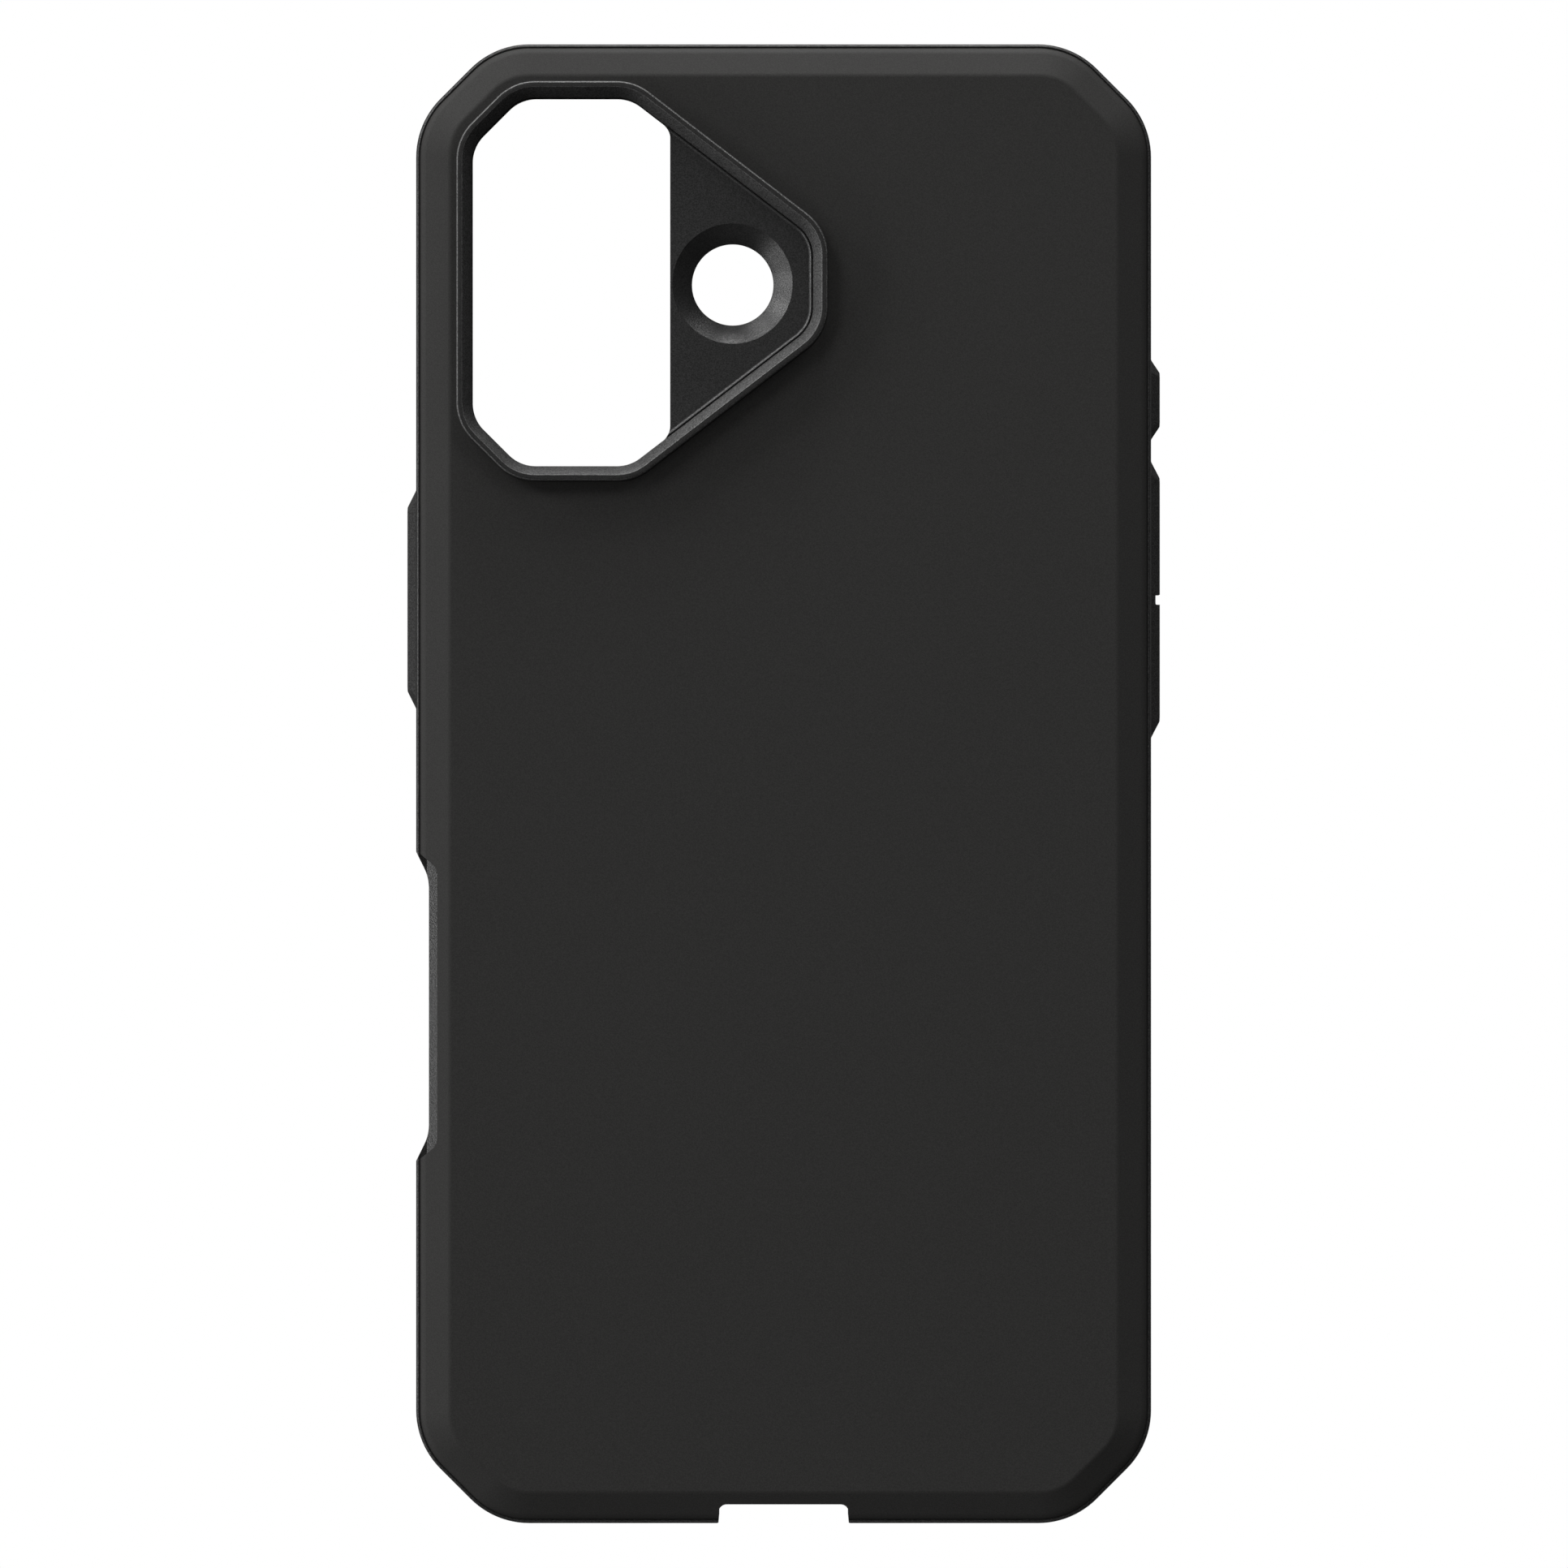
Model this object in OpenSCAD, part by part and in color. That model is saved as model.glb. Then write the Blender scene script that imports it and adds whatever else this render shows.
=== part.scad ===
// Protective case for a 6.1 inch phone: a soft bumper frame with a hard back shell,
// a camera guard, a flash plate, a back lining and three sets of side keys.
// The case lies face down. Origin: centre of the front lip's plane.
// +Y points to the phone's top, +Z to the back of the case. Millimetres.

/* [Case] */
// Width over the side walls, without the keys
case_w = 75.1; // [74.5:0.1:76]
// Length over the end walls
case_l = 151.1; // [150.5:0.1:152.5]
// Leg of the 45 degree chamfer at each corner
corner_leg = 8.04; // [7:0.01:8.5]
// Radius where the chamfers meet the sides
corner_r = 8.45; // [6:0.05:9]
// Thickness of the side walls
wall = 1.65; // [1.45:0.05:1.85]
// Corner radius of the phone bay
bay_r = 12; // [11:0.5:13]

/* [Heights] */
// Height of the front lip, from the resting plane to the screen
lip_h = 1.2; // [1:0.1:1.6]
// How far the front lip reaches over the screen
lip_reach = 1.2; // [0.8:0.1:1.6]
// Depth of the phone bay, from the front lip to the lining
bay_h = 7.9; // [7.8:0.1:8.4]
// Thickness of the fabric lining
lining_t = 0.4; // [0.3:0.05:0.5]
// Thickness of the frame's web under the back shell
web_t = 0.6; // [0.5:0.05:0.8]
// Thickness of the back shell
shell_t = 1.6; // [1.4:0.1:2]
// Height of the camera guard above the back
guard_h = 2.2; // [1.8:0.1:2.6]

/* [Back shell] */
// Width of the frame's rim around the shell
rim_w = 0.36; // [0.3:0.01:0.45]
// Height of the rim above the web
rim_h = 0.1; // [0.1:0.05:0.3]
// Distance from the case's ends and chamfers to the flat of the back
bevel_in = 3.3; // [3:0.05:3.6]
// Distance from the case's sides to the flat of the back
bevel_side_in = 3.5; // [3.2:0.05:3.7]
// Slope of the bevel at the ends and chamfers, in degrees
bevel_deg = 23.5; // [22:0.5:25]
// Radius of the shell's outer edge
edge_r = 1.4; // [1.1:0.05:1.5]

/* [Camera guard] */
// Distance from the case's centre to the middle of the guard, along Y
guard_y = 51.15; // [50:0.01:52]
// Left edge of the guard
guard_left = -33.3; // [-33.4:0.05:-32.9]
// Right edge of the guard
guard_right = 4.5; // [4:0.01:5]
// Half of the guard's height along Y
guard_half = 20.33; // [20:0.01:20.5]
// Leg of the chamfers at the guard's left corners
guard_leg = 5.8; // [5.5:0.01:6]
// X of the point where the guard's top edge turns down to the right
guard_turn_x = -15.14; // [-16:0.01:-15]
// Half of the guard's short right edge
guard_nose = 5.26; // [5:0.01:5.6]
// Radius of the guard's corners
guard_r = 5.4; // [5:0.1:5.8]
// Thickness of the guard's wall at its foot
guard_wall = 1.54; // [1.4:0.01:1.6]
// Width of the guard's flat top, with its two rounded edges
guard_land = 0.6; // [0.5:0.01:0.7]
// Height of the guard's slanted inner wall
guard_slant = 1.8; // [1.6:0.05:1.9]
// Right edge of the lens window
lens_right = -11.56; // [-12:0.01:-11.4]

/* [Flash plate] */
// X of the flash hole
flash_x = -5.2; // [-5.4:0.01:-5]
// Y of the flash hole
flash_y = 50.95; // [50.8:0.05:51.3]
// Radius of the flash hole
flash_r = 4.16; // [4:0.01:4.3]
// Radius of the flash hole's countersink
flash_sink_r = 6.12; // [5.8:0.01:6.15]
// Width of the groove between the plate's bead and the guard
groove_w = 0.1; // [0.1:0.01:0.2]
// Width of the plate's raised bead
bead_w = 0.34; // [0.2:0.01:0.4]

/* [Keys] */
// How far the keys stand out of the side walls
key_out = 1.03; // [0.8:0.01:1.1]
// Height of the keys at the wall
key_base_h = 5; // [4:0.1:5.2]
// Height of the keys' flat faces
key_face_h = 3; // [2:0.1:3.4]
// Travel of the action key and of the power key
key_travel = 0.35; // [0.2:0.05:0.35]
// Length of the action key at the wall
action_l = 8.35; // [8:0.05:8.6]
// Length of the volume rocker at the wall
volume_l = 28.5; // [28:0.1:28.8]
// Length of the power key at the wall
power_l = 22.58; // [22:0.02:23]

/* [Cut-outs] */
// Width of the charging notch
port_w = 13.28; // [13:0.02:14]
// Depth of the charging notch
port_d = 2.04; // [1.9:0.01:2.2]
// Length of the camera control scoop at the wall's outside
scoop_l = 31.66; // [30:0.02:32]
// Depth of the camera control scoop
scoop_d = 1.33; // [1.2:0.01:1.4]
// Slope of the scoop's ends, in degrees
scoop_deg = 26; // [24:1:30]

/* [Hidden] */

arc_steps = 8;
eps = 0.01;
past = 3;

half_w = case_w / 2;
half_l = case_l / 2;
bay_x = half_w - wall;
bay_y = half_l - wall;

// Levels above the resting plane
ceiling_z = lip_h + bay_h + lining_t;
web_z = ceiling_z + web_t;
rim_z = web_z + rim_h;
back_z = web_z + shell_t;
guard_z = back_z + guard_h;
slant_z = guard_z - guard_slant;
key_z = lip_h + bay_h / 2;

// The frame's front edge and rim edge
lip_edge_r = 0.8;
rim_edge_r = 0.12;

// The shell's edge: a circle tangent to the bevel, which comes up beside the rim
rim_gap = 0.01;
shell_in = rim_w - 0.1;
edge_end_in = shell_in + edge_r * (1 - sin(bevel_deg));
edge_end_z = back_z - (bevel_in - edge_end_in) * tan(bevel_deg);
edge_centre_z = edge_end_z - edge_r * cos(bevel_deg);
edge_start_deg = asin((web_z - edge_centre_z) / edge_r);
side_rise = (back_z - edge_end_z) / (bevel_side_in - edge_end_in);

// The guard's foot, which the shell clamps on the web
foot_w = 0.7;
foot_h = 0.5;
guard_gap = 0.03;
land_outer_r = 0.14;
land_inner_r = 0.14;
lens_corner_r = 2;

// The flash plate
plate_gap = 0.02;
plate_z = slant_z - 0.1;
groove_d = 0.3;
bead_h = 0.22;

// The lining
lining_in = 2.2;
lining_cut = 1.2;

// The keys' places along the side walls
action_y = 39.38;
volume_y = 18.87;
power_y = 18.9;
action_taper = 1.41;
volume_taper = 1.78;
power_taper = 1.86;

// The keys in the wall: neck, flange and clearances
key_gap = 0.15;
flange_t = 0.4;
flange_w = 0.8;
flange_gap = 0.05;
stop_gap = 0.05;
skin = wall - key_travel - flange_t - flange_gap - stop_gap;

// The volume rocker's trunnions and notch
rocker_in = 0.35;
rocker_pin_r = 0.35;
rocker_hole_r = 0.4;
rocker_pin_l = 1;
rocker_axis_in = 0.8;
notch_w = 1.02;
notch_d = 0.46;

// The keys' cut-off corners, and the thin step round their feet
key_corner = 0.8;
key_step = 0.16;
key_step_w = 0.1;

// The scoop, its soft collar and its window
scoop_y = -22.73;
scoop_r = 4.7;
collar_in = 2.21;
collar_half = 14.1;
collar_slope = 0.83;
collar_r = 1.5;
window_l = 26;
window_h = 6.6;

// The port notch and the sound slots
port_r = 0.85;
slot_x = 17;
slot_l = 15;
slot_h = 2.2;

function unit(v) = v / norm(v);

// Rounds one convex corner at p between a and b, shifted inwards by d
function corner_arc(a, p, b, r, d) =
    let (u = unit(a - p), v = unit(b - p), half = acos(u * v) / 2)
    let (c = p + unit(u + v) * r / sin(half), s = p + u * r / tan(half) - c)
    let (start = atan2(s[1], s[0]), turn = 180 - 2 * half)
    [for (i = [0:arc_steps]) c + (r - d) * [
        cos(start + turn * i / arc_steps),
        sin(start + turn * i / arc_steps)
    ]];

// A closed outline, counter-clockwise, from corners [x, y, radius], shifted inwards by d
function outline(corners, d = 0) = [
    for (i = [0:len(corners) - 1])
        let (n = len(corners), c = corners[i])
        let (a = corners[(i + n - 1) % n], b = corners[(i + 1) % n])
        each c[2] == 0
            ? [[c[0], c[1]]]
            : corner_arc([a[0], a[1]], [c[0], c[1]], [b[0], b[1]], c[2], d)
];

case_corners = [
    [half_w, corner_leg - half_l, corner_r],
    [half_w, half_l - corner_leg, corner_r],
    [half_w - corner_leg, half_l, corner_r],
    [corner_leg - half_w, half_l, corner_r],
    [-half_w, half_l - corner_leg, corner_r],
    [-half_w, corner_leg - half_l, corner_r],
    [corner_leg - half_w, -half_l, corner_r],
    [half_w - corner_leg, -half_l, corner_r]
];

// The flat of the back is a little further from the sides than from the ends
flat_x = half_w - bevel_side_in;
flat_y = half_l - bevel_in;
flat_sum = half_w + half_l - corner_leg - bevel_in * sqrt(2);
flat_r = corner_r - bevel_in;
flat_corners = [
    [flat_x, flat_x - flat_sum, flat_r],
    [flat_x, flat_sum - flat_x, flat_r],
    [flat_sum - flat_y, flat_y, flat_r],
    [flat_y - flat_sum, flat_y, flat_r],
    [-flat_x, flat_sum - flat_x, flat_r],
    [-flat_x, flat_x - flat_sum, flat_r],
    [flat_y - flat_sum, -flat_y, flat_r],
    [flat_sum - flat_y, -flat_y, flat_r]
];

bay_corners = [
    [bay_x, -bay_y, bay_r],
    [bay_x, bay_y, bay_r],
    [-bay_x, bay_y, bay_r],
    [-bay_x, -bay_y, bay_r]
];

guard_corners = [
    [guard_right, guard_y - guard_nose, guard_r],
    [guard_right, guard_y + guard_nose, guard_r],
    [guard_turn_x, guard_y + guard_half, guard_r],
    [guard_left + guard_leg, guard_y + guard_half, guard_r],
    [guard_left, guard_y + guard_half - guard_leg, guard_r],
    [guard_left, guard_y - guard_half + guard_leg, guard_r],
    [guard_left + guard_leg, guard_y - guard_half, guard_r],
    [guard_turn_x, guard_y - guard_half, guard_r]
];

// The lens window follows the guard's foot, up to the flash plate's straight edge
guard_rise = (guard_half - guard_nose) / (guard_right - guard_turn_x);
inner_r = guard_r - guard_wall;
inner_leg = guard_leg - guard_wall * (2 - sqrt(2));
inner_left = guard_left + guard_wall;
inner_half = guard_half - guard_wall;
inner_turn_x = guard_turn_x - guard_wall * tan(atan(guard_rise) / 2);
lens_half = inner_half - (lens_right - inner_turn_x) * guard_rise;
lens_corners = [
    [lens_right, guard_y - lens_half, lens_corner_r],
    [lens_right, guard_y + lens_half, lens_corner_r],
    [inner_turn_x, guard_y + inner_half, inner_r],
    [inner_left + inner_leg, guard_y + inner_half, inner_r],
    [inner_left, guard_y + inner_half - inner_leg, inner_r],
    [inner_left, guard_y - inner_half + inner_leg, inner_r],
    [inner_left + inner_leg, guard_y - inner_half, inner_r],
    [inner_turn_x, guard_y - inner_half, inner_r]
];

// The scoop and its collar are trapezoids that run out past the wall
scoop_half = scoop_l / 2 - scoop_d / tan(scoop_deg);
scoop_mouth = scoop_l / 2 + past / tan(scoop_deg);
scoop_corners = [
    [scoop_d - half_w, scoop_y - scoop_half, scoop_r],
    [scoop_d - half_w, scoop_y + scoop_half, scoop_r],
    [-past - half_w, scoop_y + scoop_mouth, 0],
    [-past - half_w, scoop_y - scoop_mouth, 0]
];
collar_mouth = collar_half + (collar_in + past) * collar_slope;
collar_corners = [
    [collar_in - half_w, scoop_y - collar_half, collar_r],
    [collar_in - half_w, scoop_y + collar_half, collar_r],
    [-past - half_w, scoop_y + collar_mouth, 0],
    [-past - half_w, scoop_y - collar_mouth, 0]
];

port_corners = [
    [port_w / 2, -half_l - past, 0],
    [port_w / 2, port_d - half_l, port_r],
    [-port_w / 2, port_d - half_l, port_r],
    [-port_w / 2, -half_l - past, 0]
];

// A prism of an outline between two levels
module prism(points, z0, z1) {
    translate([0, 0, z0]) linear_extrude(height = z1 - z0) polygon(points);
}

// A closed solid through a stack of sections [outline, z] with equal point counts
module loft(sections) {
    n = len(sections[0][0]);
    top = len(sections) - 1;
    polyhedron(
        points = [for (s = sections, p = s[0]) [p[0], p[1], s[1]]],
        faces = [
            [for (i = [0:n - 1]) i],
            for (k = [0:top - 1], i = [0:n - 1])
                [k * n + i, (k + 1) * n + i, (k + 1) * n + (i + 1) % n, k * n + (i + 1) % n],
            [for (i = [n - 1:-1:0]) top * n + i]
        ]
    );
}

module case_prism(d, z0, z1) {
    prism(outline(case_corners, d), z0, z1);
}

module port_cut() {
    prism(outline(port_corners), -past, guard_z);
}

// A slot with round ends, along X, cut through the wall at the phone's foot
module sound_slot(x) {
    for (side = [-1, 1])
        translate([x + side * (slot_l - slot_h) / 2, -bay_y + eps, key_z])
            rotate([90, 0, 0]) cylinder(h = wall + 1, d = slot_h, $fn = 48);
    translate([x - (slot_l - slot_h) / 2, -half_l - 1, key_z - slot_h / 2])
        cube([slot_l - slot_h, wall + 1 + eps, slot_h]);
}

// A block along the right wall, centred at y, from one depth under the wall to another
module wall_block(y, length, height, from_in, to_in) {
    translate([half_w - to_in, y - length / 2, key_z - height / 2])
        cube([to_in - from_in, length, height]);
}

// The opening and the inner recess for a key that slides
module slide_key_cut(y, length) {
    wall_block(y, length + 2 * key_gap, key_base_h + 2 * key_gap, -1, wall + 1);
    wall_block(
        y, length + 2 * (flange_w + key_gap), key_base_h + 2 * (flange_w + key_gap), skin, wall + 1
    );
}

// The opening and the two trunnion holes for the rocker
module rocker_cut() {
    wall_block(volume_y, volume_l + 2 * key_gap, key_base_h + 2 * key_gap, -1, wall + 1);
    hole_half = key_base_h / 2 + key_gap + rocker_pin_l + 0.1;
    translate([half_w - rocker_axis_in, volume_y, key_z - hole_half])
        cylinder(h = 2 * hole_half, r = rocker_hole_r, $fn = 48);
}

// A key's outline, with its corners cut off, in the plane of the wall
function key_outline(length, height) =
    let (l = length / 2, h = height / 2, c = key_corner)
    [
        [l, c - h], [l, h - c], [l - c, h], [c - l, h],
        [-l, h - c], [-l, c - h], [c - l, -h], [l - c, -h]
    ];

// The faceted outside of a key: a thin step, and facets that narrow to the flat face
module key_cap(y, length, taper) {
    foot_l = length - 2 * key_step_w;
    foot_h = key_base_h - 2 * key_step_w;
    translate([half_w, y, key_z]) rotate([90, 0, 90]) loft([
        [key_outline(length, key_base_h), 0],
        [key_outline(length, key_base_h), key_step],
        [key_outline(foot_l, foot_h), key_step],
        [key_outline(length - 2 * taper, key_face_h), key_out]
    ]);
}

// A key that slides straight in: cap, neck and the flange that holds it in the wall
module slide_key(y, length, taper) {
    key_cap(y, length, taper);
    wall_block(y, length, key_base_h, 0, skin + flange_gap + eps);
    wall_block(
        y, length + 2 * flange_w, key_base_h + 2 * flange_w,
        skin + flange_gap, skin + flange_gap + flange_t
    );
}

// The soft frame: side walls, front lip, rim and the web under the shell
module frame_body() {
    loft([
        for (a = [0:30:90])
            [outline(case_corners, lip_edge_r * (1 - sin(a))), lip_edge_r * (1 - cos(a))],
        [outline(case_corners), rim_z - rim_edge_r],
        [outline(case_corners, rim_edge_r), rim_z]
    ]);
}

// The collar that the frame forms between the scoop and the shell
module scoop_collar() {
    top_z = back_z - (bevel_side_in - collar_in) * side_rise;
    difference() {
        intersection() {
            prism(outline(collar_corners), web_z - eps, back_z);
            case_prism(rim_edge_r, web_z - 1, back_z);
        }
        translate([collar_in - half_w, scoop_y, top_z])
            rotate([0, -45, 0])
                translate([-2 * past, -scoop_l, 0]) cube([3 * past, 2 * scoop_l, 2 * past]);
    }
}

module bumper_frame() {
    color("#1c1c1b") difference() {
        union() {
            difference() {
                frame_body();
                case_prism(rim_w, web_z, back_z);
            }
            scoop_collar();
        }
        prism(outline(bay_corners), lip_h, ceiling_z);
        prism(outline(bay_corners, lip_reach), -1, lip_h + eps);
        prism(outline(lens_corners), ceiling_z - 1, web_z + 1);
        translate([flash_x, flash_y, ceiling_z - 1]) cylinder(h = web_t + 2, r = flash_r, $fn = 96);
        prism(outline(scoop_corners), -past, guard_z);
        translate([-half_w - 1, scoop_y - window_l / 2, key_z - window_h / 2])
            cube([wall + 1 + eps, window_l, window_h]);
        port_cut();
        for (side = [-1, 1]) sound_slot(side * slot_x);
        slide_key_cut(action_y, action_l);
        rocker_cut();
        mirror([1, 0, 0]) slide_key_cut(power_y, power_l);
    }
}

// The hard back: a flat plate with a bevel and a rounded edge
module back_shell() {
    edge_steps = 4;
    edge_sweep = 90 - bevel_deg - edge_start_deg;
    color("#2e2e2c") difference() {
        loft([
            for (i = [0:edge_steps])
                let (a = edge_start_deg + edge_sweep * i / edge_steps)
                [
                    outline(case_corners, max(shell_in + edge_r * (1 - cos(a)), rim_w + rim_gap)),
                    edge_centre_z + edge_r * sin(a)
                ],
            [outline(flat_corners), back_z]
        ]);
        prism(outline(guard_corners, -guard_gap), web_z - 1, back_z + 1);
        prism(outline(guard_corners, -foot_w - guard_gap), web_z - 1, web_z + foot_h + guard_gap);
        prism(outline(collar_corners), web_z - 1, back_z + 1);
        port_cut();
    }
}

// The raised ring round the camera: straight outside, slanted inside, with a foot
module camera_guard() {
    color("#262625") difference() {
        union() {
            prism(outline(guard_corners, -foot_w), web_z, web_z + foot_h);
            loft([
                [outline(guard_corners), web_z],
                [outline(guard_corners), guard_z - land_outer_r],
                [outline(guard_corners, land_outer_r), guard_z]
            ]);
        }
        loft([
            [outline(guard_corners, guard_wall), web_z - 1],
            [outline(guard_corners, guard_wall), slant_z],
            [outline(guard_corners, guard_land), guard_z - land_inner_r],
            [outline(guard_corners, guard_land - land_inner_r), guard_z],
            [outline(guard_corners, guard_land - land_inner_r), guard_z + 1]
        ]);
    }
}

// The plate that fills the guard beside the lens window, with a countersunk flash hole
module flash_plate() {
    inset = guard_wall + plate_gap;
    bead_in = inset + groove_w;
    color("#292928") difference() {
        union() {
            prism(outline(guard_corners, inset), web_z, plate_z - groove_d);
            prism(outline(guard_corners, bead_in), web_z, plate_z);
            difference() {
                prism(outline(guard_corners, bead_in), web_z, plate_z + bead_h);
                prism(outline(guard_corners, bead_in + bead_w), plate_z - eps, back_z + past);
            }
        }
        prism(outline(lens_corners), web_z - 1, guard_z);
        translate([guard_left, guard_y - guard_half, web_z - 1])
            cube([lens_right - guard_left - lens_corner_r, 2 * guard_half, past + 1]);
        translate([flash_x, flash_y, web_z - 1]) cylinder(h = past + 1, r = flash_r, $fn = 96);
        translate([flash_x, flash_y, web_z])
            cylinder(h = plate_z - web_z, r1 = flash_r, r2 = flash_sink_r, $fn = 96);
        translate([flash_x, flash_y, plate_z - eps]) cylinder(h = 1, r = flash_sink_r, $fn = 96);
    }
}

// The fabric sheet that the phone's back lies on
module back_lining() {
    color("#3a3a3c") difference() {
        prism(outline(bay_corners, lining_in), ceiling_z - lining_t, ceiling_z);
        prism(outline(guard_corners, -lining_cut), ceiling_z - 1, ceiling_z + 1);
    }
}

module action_button() {
    color("#232322") slide_key(action_y, action_l, action_taper);
}

// One bar for both volume keys, rocking on two trunnions, with a notch in the middle
module volume_rocker() {
    pin_half = key_base_h / 2 + key_gap + rocker_pin_l;
    color("#232322") {
        difference() {
            union() {
                key_cap(volume_y, volume_l, volume_taper);
                wall_block(volume_y, volume_l, key_base_h, 0, wall - rocker_in);
            }
            wall_block(volume_y, notch_w, key_base_h, -key_out - 1, notch_d - key_out);
        }
        translate([half_w - rocker_axis_in, volume_y, key_z - pin_half])
            cylinder(h = 2 * pin_half, r = rocker_pin_r, $fn = 48);
    }
}

module power_button() {
    color("#232322") mirror([1, 0, 0]) slide_key(power_y, power_l, power_taper);
}

bumper_frame();
back_shell();
camera_guard();
flash_plate();
back_lining();
action_button();
volume_rocker();
power_button();
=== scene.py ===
import math

import bmesh
import bpy
from mathutils import Matrix, Vector


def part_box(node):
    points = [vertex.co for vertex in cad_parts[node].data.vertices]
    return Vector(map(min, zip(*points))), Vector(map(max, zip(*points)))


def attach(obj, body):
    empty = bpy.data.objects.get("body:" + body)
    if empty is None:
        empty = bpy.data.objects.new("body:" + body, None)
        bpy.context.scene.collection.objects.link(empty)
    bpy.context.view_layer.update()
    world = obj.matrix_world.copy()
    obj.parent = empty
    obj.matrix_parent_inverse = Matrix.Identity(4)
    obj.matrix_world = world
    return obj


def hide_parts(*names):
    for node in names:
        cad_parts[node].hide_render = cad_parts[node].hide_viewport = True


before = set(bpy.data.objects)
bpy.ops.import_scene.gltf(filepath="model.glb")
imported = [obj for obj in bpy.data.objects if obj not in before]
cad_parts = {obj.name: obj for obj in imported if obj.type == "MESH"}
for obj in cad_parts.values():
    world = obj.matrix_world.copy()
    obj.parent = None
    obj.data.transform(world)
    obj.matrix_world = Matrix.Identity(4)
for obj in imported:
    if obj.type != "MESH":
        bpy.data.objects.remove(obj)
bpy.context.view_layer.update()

# ---------------------------------------------------------------- sizes, in millimetres
MM = 0.001


def box_mm(node):
    low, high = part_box(node)
    return low / MM, high / MM


frame_high = box_mm("bumper_frame")[1]
plate_high = box_mm("flash_plate")[1]
shell_low, shell_high = box_mm("back_shell")
guard_low, guard_high = box_mm("camera_guard")
lining_low, lining_high = box_mm("back_lining")
action_low, action_high = box_mm("action_button")
volume_low, volume_high = box_mm("volume_rocker")
power_low, power_high = box_mm("power_button")

# The case's outline and its walls
HALF_W = frame_high.x
HALF_L = frame_high.y
CORNER_LEG = 8.04
CORNER_R = 8.45
WALL = 1.65
BAY_R = 12.0
BAY_EDGE_R = 0.5
LIP_H = 1.2
LIP_REACH = 1.2
LIP_EDGE_R = 0.8
LIP_INNER_R = 0.5

# Levels
WEB_Z = shell_low.z
BACK_Z = shell_high.z
CEILING_Z = lining_high.z
RIM_Z = WEB_Z + 0.1
GUARD_Z = guard_high.z
SLANT_Z = GUARD_Z - 1.8
KEY_Z = (action_low.z + action_high.z) / 2

# The rim and the back shell
RIM_W = 0.36
RIM_OUTER_R = 0.28
RIM_TALL = 2.0
RIM_INNER_R = 0.03
RIM_GAP = 0.012
SHELL_IN = RIM_W - 0.1
BEVEL_IN = 3.3
BEVEL_SIDE_IN = 3.5
BEVEL_DEG = 23.5
BEVEL = math.radians(BEVEL_DEG)
EDGE_R = 1.4
BLEND_R = 1.1

# Where the shell's rounded edge ends and its bevel begins
EDGE_END_IN = SHELL_IN + EDGE_R * (1 - math.sin(BEVEL))
BEVEL_RISE = (BEVEL_IN - EDGE_END_IN) * math.tan(BEVEL)

# The camera guard
FOOT_W = 0.7
FOOT_H = 0.5
GUARD_GAP = 0.03
GUARD_LEFT = guard_low.x + FOOT_W
GUARD_RIGHT = guard_high.x - FOOT_W
GUARD_Y = (guard_low.y + guard_high.y) / 2
GUARD_HALF = (guard_high.y - guard_low.y) / 2 - FOOT_W
GUARD_LEG = 5.8
GUARD_TURN_X = -15.14
GUARD_NOSE = 5.26
GUARD_R = 5.4
GUARD_WALL = 1.54
LAND_W = 0.6
LAND_OUTER_R = 0.22
LAND_OUTER_TALL = 1.7
LAND_INNER_R = 0.1

# A slanted face of the guard has a normal whose upward part is between these two
SLANT_RISE = 0.2
LAND_RISE = 0.95

# The lens window
LENS_RIGHT = -11.56
LENS_CORNER_R = 2.0

# The flash plate
PLATE_Z = SLANT_Z - 0.1
PLATE_GAP = 0.02
GROOVE_D = 0.09
GROOVE_W = 0.07
BEAD_W = 0.34
BEAD_H = plate_high.z - PLATE_Z
BEAD_EDGE_R = 0.03
FLASH_X = -5.2
FLASH_Y = 50.95
FLASH_R = 4.16
SINK_R = 6.12
SINK_STEPS = 96
SINK_EDGE = 0.06
SINK_ABOVE = 0.01
FLASH_STEPS = 24

# The lining
LINING_IN = 2.2
LINING_EDGE = 0.12
LINING_HOLE_OUT = 1.2

# The lining's flat area is that of the faces whose normal's upward part is more than this
LINING_UP = 0.9

# The keys
KEY_OUT = action_high.x - HALF_W
KEY_BASE_H = 5.0
KEY_FACE_H = 3.0
KEY_GAP = 0.15
ROCKER_GAP = 0.07
KEY_CORNER = 1.3
KEY_FACE_CORNER = 0.4
KEY_RIDGE_R = 0.2
KEY_STEP = 0.16
KEY_STEP_W = 0.1
KEY_STEP_R = 0.07
KEY_BROW_R = 0.12
KEY_MOUTH_R = 0.12
ACTION_TAPER = 1.41
VOLUME_TAPER = 1.78
POWER_TAPER = 1.86
SKIN = 0.8
FLANGE_T = 0.4
FLANGE_W = 0.8
FLANGE_GAP = 0.05
ROCKER_DEPTH = WALL - 0.35
ROCKER_AXIS_IN = 0.8
ROCKER_PIN_R = 0.35
PIN_STEPS = 32
PIN_EDGE = 0.08
NOTCH_W = 1.02
NOTCH_D = 0.46
NOTCH_R = 0.12
NOTCH_HALF = 4.0
NOTCH_EDGE_W = 0.04

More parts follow.
